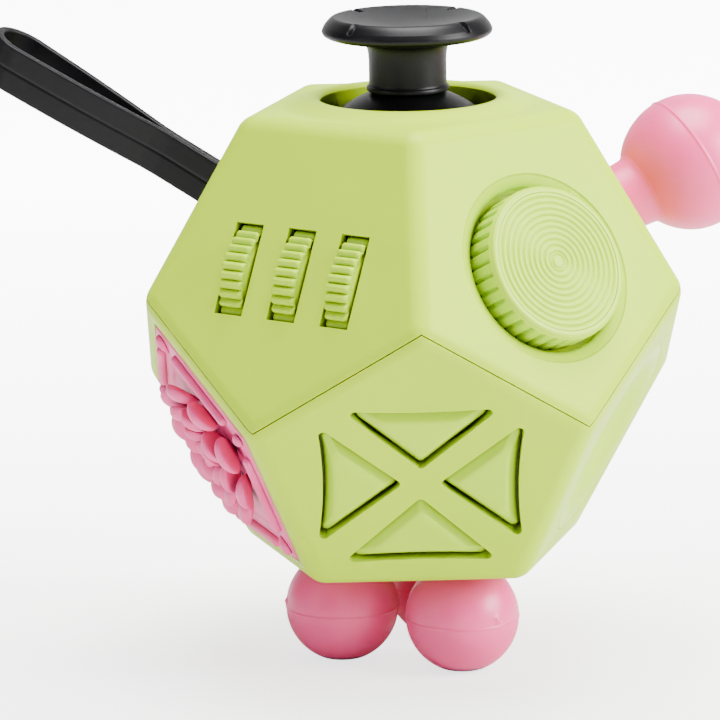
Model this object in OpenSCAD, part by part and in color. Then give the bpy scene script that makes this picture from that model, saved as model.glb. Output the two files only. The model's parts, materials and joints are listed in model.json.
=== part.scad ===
// Twelve-sided fidget toy: a rounded dodecahedron housing in two half shells.
// Each face carries one thing to play with. Millimetres, +Z up, origin at the
// centre of the housing's bottom face, -Y towards the person holding it.

/* [Housing] */
// Distance between two opposite faces
across_faces = 52; // [50:1:60]
// Wall thickness of the half shells
wall = 1.8; // [1.4:0.1:2.2]
// Rounding radius of the outer edges
edge_r = 2.8; // [2:0.2:3.4]
// Gap left along the zigzag parting line
parting_gap = 0.14; // [0.08:0.02:0.3]

/* [Thumb stick] */
// Radius of the round hole in the top face
stick_hole_r = 10; // [9.5:0.1:10.4]
// Height of the soft collar round that hole
collar_h = 0.9; // [0.5:0.1:1.4]
// Diameter of the dished cap
cap_d = 19.5; // [17:0.5:21]
// Height of the cap's rim above the top face
cap_top = 10; // [9.4:0.2:12]
// Diameter of the sleeve under the cap
sleeve_d = 8.8; // [7:0.2:9.6]
// Radius of the dome that closes the hole
dome_r = 13; // [12.8:0.1:13.2]

/* [Gear wheels] */
// Radius over the ridges
gear_r = 7.2; // [6.6:0.1:7.4]
// Height of a wheel above its face
gear_proud = 1.6; // [1.2:0.1:1.8]
// Number of ridges on one wheel
gear_ridges = 40; // [30:1:44]
// Width of one slot
slot_w = 3.7; // [3.4:0.1:4]
// Height of one slot
slot_h = 10.6; // [10.4:0.1:11]
// Distance from slot to slot
slot_pitch = 7.1; // [6.8:0.1:7.2]
// Radius of the axle
axle_r = 1.1; // [0.8:0.1:1.1]

/* [Dial] */
// Radius of the knurled rim
dial_r = 9; // [8.4:0.1:9.2]
// Height of the dial above its face
dial_proud = 2; // [1.4:0.1:2.6]
// Number of scallops on the rim
dial_scallops = 36; // [30:2:48]

/* [Cross pad] */
// Travel of one key
key_travel = 0.8; // [0.5:0.1:1]
// Gap between a key and its window
key_gap = 0.25; // [0.2:0.05:0.4]
// Width and depth of the bevel round a key
key_bevel = 1.1; // [0.7:0.1:1.3]

/* [Silicone] */
// Radius of the large squeeze ball
ball_r = 7.9; // [7:0.1:8.4]
// Height of the large ball's centre above its face
ball_h = 12.3; // [11.6:0.1:13]
// Radius of one foot ball
foot_r = 6.5; // [6:0.1:6.8]
// Distance of each foot ball from the housing's axis
foot_pitch_r = 8.56; // [8.4:0.02:8.8]
// Height of the petals on the petal pad
petal_h = 2.4; // [1.6:0.1:3]
// Width of the strap
strap_w = 5.2; // [4.4:0.1:5.6]
// Length of the strap, measured from its face
strap_len = 33; // [28:1:36]

/* [Hidden] */
$fn = 64;

// Housing
centre_z = across_faces / 2;
inradius_per_edge = 1.1135164;
end_radius_per_edge = 0.8506508;
mid_radius_per_edge = 1.3763819;
mid_height_per_edge = 0.2628656;
slope = 26.5650512;
outer_fn = 48;
inner_fn = 16;
inner_r = 1.2;
eps = 0.02;
running = 0.05;
free = 0.3;
lime = "#BDD45A";
lime_deep = "#A9C445";
ink = "#2B2930";
pink = "#EE82A4";
steel = "#B9BCC0";
nylon = "#E8E6DF";

// Face azimuths: even ones carry upper faces, odd ones lower faces
az_gears = -126;
az_dial = -54;
az_ball = 18;
az_rocker = 90;
az_strap = 162;
az_keys = -90;
az_worry = -18;
az_click = 54;
az_slide = 126;
az_petal = -162;

// Shell bosses and screws
boss_r = 1.5;
slim_boss_r = 1;
pilot_r = 0.6;
screw_head_r = 1.2;
screw_head_h = 0.8;
pin_r = 0.9;
pin_reach = 27.5 / 26 * centre_z;
pin_len = 6;

// Thumb stick, heights from the top face
stick_pivot = -11;
dome_t = 1;
dome_top = stick_pivot + dome_r;
dome_half_angle = 48;
post_r = 2;
gimbal_out = 6;
gimbal_in = 4.6;
gimbal_h = 3;
trunnion_r = 0.9;
plate_top = -8.4;
plate_t = 1.2;
post_reach = 13;
cup_r = 7.9;
cup_lip = 0.8;
cup_below = 2.2;
arm_w = 2.4;
lug_r = 1.6;
spring_wire = 0.5;
spring_r = 3.4;
spring_turns = 4;

// Gears, in their face's frame
gear_y = -1.37;
gear_x = 0.3;
gear_z = gear_proud - gear_r;
relief_depth = 0.5;
relief_h = 2 * sqrt(gear_r * gear_r - (gear_z + wall) * (gear_z + wall)) + 0.8;
gear_w = slot_w - 0.7;
ridge = 0.32;
gear_points = 6;
frame_top = -wall - 1.2;
frame_in_x = 9.6;
frame_t = 1.2;
frame_window = gear_r + 0.3;
frame_lug_y = 9.5;
ear_t = 1;

// Dial
dial_x = 0.3;
dial_y = -1.2;
well_r = dial_r + 0.5;
well_depth = 2.4;
ring_r = 11;
ring_step = 0.15;
ring_depth = 0.8;
spindle_r = 1.5;
groove_step = 0.7;

// Cross pad
pad_y = -1.3;
key_screw_x = 8.8;
key_screw_y = 8.42;
pad_tip = 2;
pad_reach = [11.5, 10.6, 11.5, 11.4];
pad_spread = [8.6, 8.7, 8.6, 8.8];
pad_hollow = [0.65, 0.35, 0.65, 0.35];
corner_r = 0.55;
key_flange = 0.35;
flange_top = -wall - free;
flange_t = 1.1;
key_foot = flange_top - flange_t;
mat_dome = 0.4;
mat_top = key_foot - key_travel - mat_dome;
mat_t = 0.8;
mat_r = 9.9;
mat_y = -0.6;
key_dome_at = 6.6;
backing_t = 1;
back_screw_len = 3.8;
plate_z = mat_top - mat_t - 0.1;

// Silicone pieces
petal_recess = 1.2;
petal_in_r = 13.4;
pad_skin = 0.3;
rib_h = 0.6;
rib_w = 1.7;
petal_r = 9;
pad_back = 1.2;
neck_r = 4;
neck_low = -3.4;
foot_drop = 6.34;
foot_az = 173.6;
foot_flat = 0.35;
foot_neck_r = 1.9;
foot_dish_r = foot_r + 1.7;
foot_boss_r = 5;
foot_boss_t = 1.9;
plug_low = -5.2;
plug_lip = 1.2;
plug_t = 1;
strap_lean = 3;
strap_up = 3.7;
strap_t = 1;
loop_r = 3.9;
stem_len = 9;
stem_lead = 4;
strap_gap = 0.2;
anchor_top = -wall;
anchor_t = 1;
anchor_l = 8;
arc_steps = 24;
hinge_h = 1.6;

// Back faces
rocker_w = 9;
rocker_l = 15;
rocker_h = 2.6;
rocker_edge = -2.8;
rocker_low = -4;
rocker_pivot = -1.5;
rocker_pin_r = 1;
rocker_rim = 1.1;
bezel_lip = 1.8;
bezel_t = 0.8;
bezel_deep = 4;
click_r = 2.3;
click_ring = 6.6;
click_h = 1;
click_lip = 0.7;
click_screw_at_r = 9.6;
click_mat_r = 7.9;
slide_w = 4.4;
slide_l = 18;
slide_travel = 5;
shoe_t = 0.9;
thumb_gap = 0.35;
thumb_h = 2;
thumb_l = 9;
thumb_w = 7;
keeper_low = -wall - 2.8;
worry_rim_r = 12;
worry_rim_t = 1;
worry_mouth = 10.6;
worry_deep = 3;
worry_skin = 1.2;

// Local frame of a side face: x to the right, y up the slope, z out of the face
module on_face(az, upper) {
    translate([0, 0, centre_z])
        rotate([90 - (upper ? slope : -slope), 0, az + 90])
            translate([0, 0, centre_z]) children();
}
module on_top() { translate([0, 0, across_faces]) children(); }
module on_bottom() { rotate([180, 0, 0]) children(); }
// The three directions of the thumb stick's posts
module three_ways() { for (a = [-90, 54, 126]) rotate(a) children(); }

// Corner i of a dodecahedron with this inradius, centred on the housing
function corner(i, inradius) =
    let(edge = inradius / inradius_per_edge,
        tier = floor(i / 5),
        az = (tier < 2 ? -90 : -126) + 72 * (i % 5),
        radius = edge * (tier == 0 || tier == 3 ? end_radius_per_edge : mid_radius_per_edge),
        height = [inradius, edge * mid_height_per_edge,
                  -edge * mid_height_per_edge, -inradius][tier])
    [radius * cos(az), radius * sin(az), centre_z + height];

module rounded_dodecahedron(inradius, r, fn) {
    hull()
        for (i = [0:19])
            translate(corner(i, inradius - r)) sphere(r = r / cos(180 / fn), $fn = fn);
}

// Everything above the zigzag parting surface, lowered by drop
module above_parting(drop) {
    edge = centre_z / inradius_per_edge;
    far = 1.6 * edge;
    lid = 3 * across_faces;
    ring = [for (i = [0:9])
        let(az = -126 + 36 * i, up = (i % 2 == 0) ? -1 : 1)
        [far * mid_radius_per_edge * cos(az), far * mid_radius_per_edge * sin(az),
         up * far * mid_height_per_edge]];
    points = concat([[0, 0, 0]], ring, [for (p = ring) [p[0], p[1], lid]]);
    faces = concat([for (i = [0:9]) [0, 1 + i, 1 + (i + 1) % 10]],
                   [for (i = [0:9]) [1 + i, 11 + i, 11 + (i + 1) % 10, 1 + (i + 1) % 10]],
                   [[for (i = [0:9]) 20 - i]]);
    translate([0, 0, centre_z - drop]) polyhedron(points, faces);
}

module hollow_body() {
    difference() {
        rounded_dodecahedron(centre_z, edge_r, outer_fn);
        rounded_dodecahedron(centre_z - wall, inner_r, inner_fn);
    }
}

// Tube boss on the inside of a face, from the wall down to depth z
module boss(x, y, z, r = boss_r) {
    translate([x, y, z]) cylinder(r = r, h = -z - wall / 2);
}
module pilot(x, y, z) {
    translate([x, y, z - eps]) cylinder(r = pilot_r, h = -z - wall + eps);
}
// Screw driven outwards, its head's bearing face at depth z
module screw(x, y, z, len) {
    translate([x, y, z - screw_head_h]) cylinder(r = screw_head_r, h = screw_head_h);
    translate([x, y, z - eps]) cylinder(r = pilot_r, h = len);
}

gear_screw_at = [for (side = [-1, 1]) [gear_x, gear_y + side * frame_lug_y]];
key_screw_at = [for (x = [-1, 1]) for (y = [-1, 1])
    [x * key_screw_x, pad_y + y * key_screw_y]];
click_screw_at = [for (a = [-90, 54, 126]) [click_screw_at_r * cos(a), click_screw_at_r * sin(a)]];

// ---- Half shells ----
module collar_profile() {
    steps = 10;
    inner = stick_hole_r;
    crest = inner + 0.9;
    foot = inner + 5;
    polygon(concat(
        [[inner, -wall], [inner, collar_h - 0.45], [inner + 0.25, collar_h - 0.1]],
        [for (i = [0:steps])
            let(t = i / steps)
            [crest + (foot - crest) * t, -0.05 + (collar_h + 0.05) * (0.5 + 0.5 * cos(180 * t))]],
        [[foot, -wall]]));
}

module joining_boss(z_low, z_high) {
    for (k = [0:4]) rotate(-90 + 72 * k)
        translate([pin_reach, 0, z_low]) cylinder(r = 2, h = z_high - z_low);
}
seam_at_pin = centre_z + mid_height_per_edge / mid_radius_per_edge * pin_reach;

module joining_bores() {
    for (k = [0:4]) rotate(-90 + 72 * k)
        translate([pin_reach, 0, seam_at_pin - pin_len / 2 - eps])
            cylinder(r = pin_r + running, h = pin_len + 2 * eps);
}

module stick_posts() {
    three_ways() translate([post_reach, 0, plate_top])
        cylinder(r = slim_boss_r, h = -plate_top - 1);
}

module upper_shell() {
    color(lime) difference() {
        union() {
            intersection() {
                hollow_body();
                above_parting(0);
            }
            on_top() rotate_extrude() collar_profile();
            on_top() stick_posts();
            on_face(az_dial, true) translate([dial_x, dial_y, -well_depth - 1.4])
                cylinder(r = well_r + 1.2, h = well_depth);
            on_face(az_gears, true) for (p = gear_screw_at) boss(p[0], p[1], frame_top);
            intersection() {
                joining_boss(seam_at_pin, seam_at_pin + 7);
                rounded_dodecahedron(centre_z - wall / 2, inner_r, inner_fn);
            }
        }
        on_top() translate([0, 0, -wall - 1]) cylinder(r = stick_hole_r, h = wall + 3);
        on_top() three_ways() translate([post_reach, 0, plate_top - eps])
            cylinder(r = pilot_r, h = 5);
        on_face(az_gears, true) {
            for (i = [-1:1]) translate([gear_x + i * slot_pitch, gear_y, -wall / 2])
                cube([slot_w, slot_h, 2 * wall], center = true);
            for (i = [-1:1]) translate([gear_x + i * slot_pitch, gear_y, -wall - relief_depth])
                cube([slot_w, relief_h, 2 * wall], center = true);
            for (p = gear_screw_at) pilot(p[0], p[1], frame_top);
        }
        on_face(az_dial, true) translate([dial_x, dial_y, 0]) {
            translate([0, 0, -ring_step]) cylinder(r = ring_r, h = 2);
            translate([0, 0, -ring_depth]) cylinder(r1 = well_r, r2 = ring_r, h = ring_depth);
            translate([0, 0, -well_depth]) cylinder(r = well_r, h = 2 * well_depth);
            translate([0, 0, -8]) cylinder(r = spindle_r + running, h = 8);
        }
        on_face(az_ball, true) translate([0, 0, -4]) cylinder(r = neck_r + free, h = 6);
        on_face(az_strap, true) translate([0, strap_up, -wall / 2])
            cube([2 * strap_t + 0.6, strap_w + 0.2, 3 * wall], center = true);
        on_face(az_rocker, true) translate([0, 0, -wall / 2])
            cube([rocker_w + 2 * rocker_rim + 0.2, rocker_l + 2 * rocker_rim + 0.2, 3 * wall],
                 center = true);
        joining_bores();
    }
}

// Outline of one cross-pad window: side 0 right, 1 top, 2 left, 3 bottom
module window_outline(side, shrink) {
    reach = pad_reach[side];
    spread = pad_spread[side];
    hollow = pad_hollow[side];
    bow = (spread * spread + hollow * hollow) / (2 * hollow);
    rotate(90 * side) offset(r = corner_r, $fn = 24) offset(r = -corner_r - shrink) difference() {
        polygon([[pad_tip, 0], [reach, -spread], [reach, spread]]);
        translate([reach + bow - hollow, 0]) circle(r = bow, $fn = 180);
    }
}

module lower_shell() {
    color(lime_deep) difference() {
        union() {
            difference() {
                hollow_body();
                above_parting(parting_gap);
            }
            on_bottom() for (k = [0:2]) foot_at(k)
                translate([0, 0, -wall - foot_boss_t])
                    cylinder(r = foot_boss_r, h = foot_boss_t + wall / 3);
            on_face(az_keys, false) for (p = key_screw_at)
                boss(p[0], p[1], plate_z, slim_boss_r);
            on_face(az_click, false) for (p = click_screw_at) boss(p[0], p[1], plate_z);
            on_face(az_petal, false) translate([0, 0, -petal_recess - pad_back])
                linear_extrude(height = pad_back + wall / 4) pentagon(petal_in_r + 2 * free);
            intersection() {
                joining_boss(seam_at_pin - 4.6, seam_at_pin - parting_gap);
                rounded_dodecahedron(centre_z - wall / 2, inner_r, inner_fn);
            }
        }
        on_bottom() for (k = [0:2]) foot_at(k) {
            translate([0, 0, foot_drop]) sphere(r = foot_dish_r);
            translate([0, 0, -6]) cylinder(r = foot_neck_r + free, h = 6);
        }
        on_face(az_keys, false) {
            for (side = [0:3]) translate([0, pad_y, -2 * wall])
                linear_extrude(height = 3 * wall) window_outline(side, 0);
            for (p = key_screw_at) pilot(p[0], p[1], plate_z);
        }
        on_face(az_click, false) {
            for (k = [0:4]) click_at(k) translate([0, 0, -2 * wall])
                cylinder(r = click_r + free, h = 3 * wall);
            for (p = click_screw_at) pilot(p[0], p[1], plate_z);
        }
        on_face(az_petal, false) translate([0, 0, -petal_recess])
            linear_extrude(height = 2 * wall) pentagon(petal_in_r);
        on_face(az_slide, false) translate([0, 0, -2 * wall])
            linear_extrude(height = 3 * wall) stadium(slide_l, slide_w);
        on_face(az_worry, false) {
            translate([0, 0, -worry_rim_t]) cylinder(r = worry_rim_r + running, h = 2 * wall);
            translate([0, 0, -2 * wall]) cylinder(r = worry_rim_r - 0.8, h = 3 * wall);
        }
        joining_bores();
    }
}

// Pentagon with a corner up, sized by its inradius
module pentagon(inradius) { rotate(90) circle(r = inradius / cos(36), $fn = 5); }
module stadium(length, width) {
    square([length - width, width], center = true);
    for (side = [-1, 1]) translate([side * (length - width) / 2, 0]) circle(r = width / 2);
}
module click_at(k) { rotate(90 + 72 * k) translate([click_ring, 0, 0]) children(); }

module joining_pins() {
    color(nylon) for (k = [0:4]) rotate(-90 + 72 * k)
        translate([pin_reach, 0, seam_at_pin - pin_len / 2]) cylinder(r = pin_r, h = pin_len);
}

// ---- Thumb stick ----
module stick_cap() {
    r = cap_d / 2;
    widest = cap_top - 1.65;
    under = cap_top - 2.4;
    crest_r = r - 1.5;
    dish_deep = 1;
    dish_r = crest_r - 0.3;
    ball = (dish_r * dish_r + dish_deep * dish_deep) / (2 * dish_deep);
    color(ink) on_top() difference() {
        union() {
            rotate_extrude() polygon([
                [0, under - 0.6], [sleeve_d / 2 + 0.8, under - 0.5], [r - 1.6, under - 0.1],
                [r - 0.45, under + 0.25], [r, widest], [r - 0.3, widest + 0.6],
                [crest_r + 0.5, cap_top - 0.15], [crest_r, cap_top], [0, cap_top]]);
            translate([0, 0, dome_top - 0.6]) cylinder(r = sleeve_d / 2, h = under - dome_top + 1);
        }
        translate([0, 0, cap_top - dish_deep + ball]) sphere(r = ball, $fn = 128);
        for (a = [45:90:315]) rotate(a) translate([crest_r + 0.4, 0, cap_top])
            cube([2.6, 0.7, 1], center = true);
        translate([0, 0, dome_top - 2]) cylinder(r = post_r, h = under - dome_top + 2);
        translate([0, 0, stick_pivot]) sphere(r = dome_r + running, $fn = 128);
    }
}

module stick_dome() {
    edge_z = dome_r * cos(dome_half_angle);
    color(ink) on_top() translate([0, 0, stick_pivot]) difference() {
        intersection() {
            sphere(r = dome_r, $fn = 128);
            translate([0, 0, edge_z]) cylinder(r = dome_r, h = dome_r);
        }
        sphere(r = dome_r - dome_t, $fn = 128);
        cylinder(r = post_r, h = 2 * dome_r);
    }
}

module stick_post() {
    block = gimbal_in - 0.8;
    color(nylon) on_top() difference() {
        union() {
            translate([0, 0, stick_pivot]) cylinder(r = post_r, h = cap_top - 2.6 - stick_pivot);
            translate([0, 0, stick_pivot]) cube([block, block, gimbal_h + 0.6], center = true);
            translate([0, 0, dome_top - dome_t - 1.9]) cylinder(r = post_r + 1.4, h = 1.2);
        }
        translate([0, 0, stick_pivot]) rotate([90, 0, 0])
            cylinder(r = trunnion_r + running, h = gimbal_out * 2, center = true);
    }
}

module gimbal_ring() {
    color(nylon) on_top() translate([0, 0, stick_pivot]) difference() {
        union() {
            cylinder(r = gimbal_out - 0.6, h = gimbal_h, center = true);
            rotate([0, 90, 0]) cylinder(r = trunnion_r, h = 2 * (gimbal_out + 0.9), center = true);
        }
        cylinder(r = gimbal_in - 0.6, h = 2 * gimbal_h, center = true);
        rotate([90, 0, 0]) cylinder(r = trunnion_r, h = 4 * gimbal_out, center = true);
    }
}

module gimbal_cross_pin() {
    color(steel) on_top() translate([0, 0, stick_pivot]) rotate([90, 0, 0])
        cylinder(r = trunnion_r, h = 2 * gimbal_out - 1.2, center = true);
}

// Cup that carries the gimbal, on a plate with three arms to the shell's posts
module stick_housing() {
    in_r = gimbal_out + free;
    cup_bottom = stick_pivot - cup_below;
    arm_start = in_r + arm_w / 3;
    color(nylon) on_top() difference() {
        union() {
            translate([0, 0, plate_top - plate_t]) linear_extrude(height = plate_t) {
                rotate(30) circle(r = cup_r + cup_lip);
                three_ways() translate([arm_start, -arm_w / 2])
                    square([post_reach - arm_start, arm_w]);
                three_ways() translate([post_reach, 0]) circle(r = lug_r);
            }
            translate([0, 0, cup_bottom]) rotate(30)
                cylinder(r = cup_r, h = plate_top - plate_t / 2 - cup_bottom);
        }
        translate([0, 0, cup_bottom - 1]) rotate(30)
            cylinder(r = in_r, h = plate_top - cup_bottom + 2);
        translate([0, 0, stick_pivot]) rotate([0, 90, 0])
            cylinder(r = trunnion_r + running, h = 4 * cup_r, center = true);
        three_ways() translate([post_reach, 0, plate_top - 2 * plate_t])
            cylinder(r = pilot_r, h = 3 * plate_t);
    }
}

// Coil spring round the post, from the housing's plate to the dome's collar
module stick_spring() {
    low = plate_top + 0.3;
    high = dome_top - dome_t - 2.2;
    steps = 14 * spring_turns;
    sides = 6;
    rings = [for (i = [0:steps])
        let(t = i / steps, turn = 360 * spring_turns * t, r = spring_r + 3.6 * (1 - t))
        [for (j = [0:sides - 1])
            let(a = 360 * j / sides, q = r + spring_wire / 2 * cos(a))
            [q * cos(turn), q * sin(turn), low + (high - low) * t + spring_wire / 2 * sin(a)]]];
    points = [for (ring = rings) for (p = ring) p];
    sleeves = [for (i = [0:steps - 1]) for (j = [0:sides - 1])
        let(k = (j + 1) % sides)
        [i * sides + j, (i + 1) * sides + j, (i + 1) * sides + k, i * sides + k]];
    ends = [[for (j = [0:sides - 1]) j], [for (j = [sides - 1:-1:0]) steps * sides + j]];
    color(steel) on_top() polyhedron(points, concat(sleeves, ends));
}

module stick_screws() {
    color(steel) on_top() three_ways() screw(post_reach, 0, plate_top - plate_t, 5);
}

// ---- Gear wheels ----
module gear_wheel(i) {
    points = gear_points * gear_ridges;
    color(lime) on_face(az_gears, true)
        translate([gear_x + i * slot_pitch, gear_y, gear_z]) rotate([0, 90, 0]) difference() {
            linear_extrude(height = gear_w, center = true) polygon([for (k = [0:points - 1])
                let(a = 360 * k / points, r = gear_r - ridge * (1 - cos(gear_ridges * a)))
                [r * cos(a), r * sin(a)]]);
            cylinder(r = axle_r + running, h = 2 * gear_w, center = true);
        }
}

module gear_axle() {
    color(steel) on_face(az_gears, true) translate([gear_x, gear_y, gear_z]) rotate([0, 90, 0])
        cylinder(r = axle_r, h = 2 * (1.5 * slot_pitch + ear_t), center = true);
}

module gear_frame() {
    rail = frame_window + ear_t;
    color(nylon) on_face(az_gears, true) translate([gear_x, gear_y, frame_top]) difference() {
        union() {
            translate([-frame_in_x - ear_t, -rail, -frame_t])
                cube([2 * (frame_in_x + ear_t), 2 * rail, frame_t]);
            for (x = [-1.5, -0.5, 0.5, 1.5]) translate([x * slot_pitch - ear_t, -3, gear_z - frame_top - 2])
                cube([2 * ear_t, 6, 2 - gear_z + frame_top - frame_t / 2]);
            for (side = [-1, 1]) translate([0, side * frame_lug_y, -frame_t])
                cylinder(r = 1.8, h = frame_t);
        }
        for (i = [-1:1]) translate([i * slot_pitch, 0, 0])
            cube([slot_w, 2 * frame_window, 4 * frame_t], center = true);
        translate([0, 0, gear_z - frame_top]) rotate([0, 90, 0])
            cylinder(r = axle_r, h = 40, center = true);
        for (side = [-1, 1]) translate([0, side * frame_lug_y, -2 * frame_t])
            cylinder(r = pilot_r, h = 3 * frame_t);
    }
}

module gear_screws() {
    color(steel) on_face(az_gears, true) for (p = gear_screw_at)
        screw(p[0], p[1], frame_top - frame_t, 2.2);
}

// ---- Dial ----
module dial_knob() {
    points = 6 * dial_scallops;
    low = -well_depth + 0.2;
    grooves = [for (k = [0:10]) let(r = dial_r - 1.3 - groove_step * k) each
        [[r + 0.17, dial_proud], [r, dial_proud - 0.22], [r - 0.17, dial_proud]]];
    color(lime) on_face(az_dial, true) translate([dial_x, dial_y, 0]) difference() {
        union() {
            intersection() {
                translate([0, 0, low]) linear_extrude(height = 6) polygon([for (k = [0:points - 1])
                    let(a = 360 * k / points, r = dial_r - 0.16 * (1 - cos(dial_scallops * a)))
                    [r * cos(a), r * sin(a)]]);
                rotate_extrude() polygon(concat(
                    [[0, low], [dial_r, low], [dial_r, dial_proud - 0.7],
                     [dial_r - 0.2, dial_proud - 0.2], [dial_r - 0.6, dial_proud]],
                    grooves, [[0, dial_proud]]));
            }
            translate([0, 0, -5.1]) cylinder(r = spindle_r, h = 4);
        }
        translate([0, 0, -5.2]) cylinder(r = pilot_r, h = 4);
    }
}

module dial_washer() {
    color(steel) on_face(az_dial, true) translate([dial_x, dial_y, -5.9]) difference() {
        cylinder(r = 3, h = 0.8);
        translate([0, 0, -1]) cylinder(r = pilot_r, h = 3);
    }
}

module dial_screw() {
    color(steel) on_face(az_dial, true) screw(dial_x, dial_y, -5.9, 3.6);
}

// ---- Cross pad ----
module key(side) {
    steps = 4;
    step = key_bevel / steps;
    color(lime) on_face(az_keys, false) translate([0, pad_y, 0]) {
        for (i = [0:steps]) translate([0, 0, flange_top - eps])
            linear_extrude(height = -i * step - flange_top + eps)
                window_outline(side, key_gap + key_bevel - i * step);
        translate([0, 0, key_foot])
            linear_extrude(height = flange_top - key_foot) window_outline(side, -key_flange);
    }
}

module key_mat() {
    color(nylon) on_face(az_keys, false) translate([0, mat_y, mat_top - mat_t]) {
        cylinder(r = mat_r, h = mat_t);
        for (k = [0:3]) rotate(90 * k) translate([key_dome_at, 0, mat_t - eps])
            cylinder(r1 = 2, r2 = 1.3, h = key_foot - mat_top - running);
    }
}

// Round backing plate with a lug at each screw
module backing_plate(screws, top) {
    translate([0, 0, top - backing_t]) difference() {
        union() {
            translate([0, mat_y, 0]) cylinder(r = mat_r + free, h = backing_t);
            for (p = screws) {
                translate([p[0], p[1], 0]) cylinder(r = boss_r + free, h = backing_t);
                rotate(atan2(p[1], p[0])) translate([0, -arm_w / 2, 0])
                    cube([norm(p), arm_w, backing_t]);
            }
        }
        for (p = screws) translate([p[0], p[1], -backing_t])
            cylinder(r = pilot_r, h = 3 * backing_t);
    }
}
module key_plate() {
    color(nylon) on_face(az_keys, false) backing_plate(key_screw_at, plate_z);
}
module key_screws() {
    color(steel) on_face(az_keys, false) for (p = key_screw_at)
        screw(p[0], p[1], plate_z - backing_t, back_screw_len);
}

// ---- Silicone pieces ----
module foot_at(k) { rotate(foot_az + 120 * k) translate([foot_pitch_r, 0, 0]) children(); }
module petal_pad() {
    color(pink) on_face(az_petal, false) {
        translate([0, 0, -petal_recess]) linear_extrude(height = petal_recess + pad_skin)
            pentagon(petal_in_r - running);
        translate([0, 0, pad_skin - eps]) linear_extrude(height = rib_h) difference() {
            pentagon(petal_in_r - free);
            pentagon(petal_in_r - free - rib_w);
        }
        translate([0, 0, pad_skin - eps])
            cylinder(r1 = petal_r, r2 = petal_r - petal_h / 2, h = petal_h - pad_skin);
    }
}

module squeeze_ball() {
    color(pink) on_face(az_ball, true) {
        translate([0, 0, ball_h]) sphere(r = ball_r);
        translate([0, 0, neck_low]) cylinder(r = neck_r, h = ball_h - ball_r + plug_t - neck_low);
        translate([0, 0, neck_low]) cylinder(r = neck_r + plug_lip, h = plug_t);
    }
}
module foot_ball(k) {
    color(pink) on_bottom() foot_at(k) {
        intersection() {
            translate([0, 0, foot_drop]) sphere(r = foot_r);
            translate([-foot_r, -foot_r, -foot_r])
                cube([2 * foot_r, 2 * foot_r, foot_drop + 2 * foot_r - foot_flat]);
        }
        translate([0, 0, plug_low]) cylinder(r = foot_neck_r, h = 1 - plug_low);
        translate([0, 0, plug_low]) cylinder(r = foot_neck_r + plug_lip, h = plug_t);
    }
}

// ---- Strap ----
// Points of an arc round [0, y], from angle a to angle b
function arc(r, y, a, b) =
    [for (i = [0:arc_steps]) let(t = a + (b - a) * i / arc_steps) [r * cos(t), y + r * sin(t)]];

// Side view of the strap: round root, closed stem, then two strands round an eye
module strap_outline() {
    eye = strap_len - hinge_h - loop_r;
    outer = asin(loop_r / (eye - stem_len + stem_lead));
    inner = asin((loop_r - strap_t) / (eye - stem_len - strap_t));
    parted = stem_len - stem_lead + strap_t / tan(outer);
    difference() {
        polygon(concat(arc(strap_t, 0, 180, 360), [[strap_t, parted]],
                       arc(loop_r, eye, -outer, 180 + outer), [[-strap_t, parted]]));
        polygon(concat([[0, stem_len + strap_t]],
                       arc(loop_r - strap_t, eye, -inner, 180 + inner)));
    }
}

module strap_loop() {
    color(ink) on_face(az_strap, true) translate([0, strap_up, hinge_h])
        rotate([90 - strap_lean, 0, 0])
            linear_extrude(height = strap_w, center = true) strap_outline();
}

module strap_anchor() {
    color(ink) on_face(az_strap, true) translate([0, strap_up, 0]) {
        translate([0, 0, (strap_gap - anchor_top) / 2 + anchor_top - eps])
            cube([2 * strap_t, strap_w, strap_gap - anchor_top], center = true);
        translate([0, 0, anchor_top - anchor_t / 2])
            cube([anchor_l, strap_w + 3, anchor_t], center = true);
    }
}

// ---- Rocker ----
module rocker() {
    half = rocker_l / 2 - 0.5;
    color(ink) on_face(az_rocker, true) difference() {
        rotate([90, 0, 90]) linear_extrude(height = rocker_w, center = true) polygon([
            [-half, rocker_edge], [-half * 0.4, rocker_low], [half * 0.4, rocker_low],
            [half, rocker_edge], [half, rocker_h], [half * 0.5, 0.58 * rocker_h],
            [0, 0.42 * rocker_h], [-half * 0.5, 0.58 * rocker_h], [-half, rocker_h]]);
        translate([0, 0, rocker_pivot]) rotate([0, 90, 0])
            cylinder(r = rocker_pin_r + running, h = 2 * rocker_w, center = true);
    }
}
module rocker_pin() {
    color(steel) on_face(az_rocker, true) translate([0, 0, rocker_pivot]) rotate([0, 90, 0])
        cylinder(r = rocker_pin_r, h = rocker_w + 2, center = true);
}
module rocker_bezel() {
    frame_w = rocker_w + 2 * rocker_rim;
    frame_l = rocker_l + 2 * rocker_rim;
    color(ink) on_face(az_rocker, true) difference() {
        union() {
            translate([0, 0, bezel_t / 2 + eps])
                cube([frame_w + bezel_lip, frame_l + bezel_lip, bezel_t], center = true);
            translate([0, 0, -bezel_deep / 2])
                cube([frame_w, frame_l, bezel_deep + bezel_t / 2], center = true);
        }
        cube([rocker_w + 2 * free, rocker_l + 2 * free, 5 * bezel_deep], center = true);
        translate([0, 0, rocker_pivot]) rotate([0, 90, 0])
            cylinder(r = rocker_pin_r, h = 2 * rocker_w, center = true);
    }
}

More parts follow.
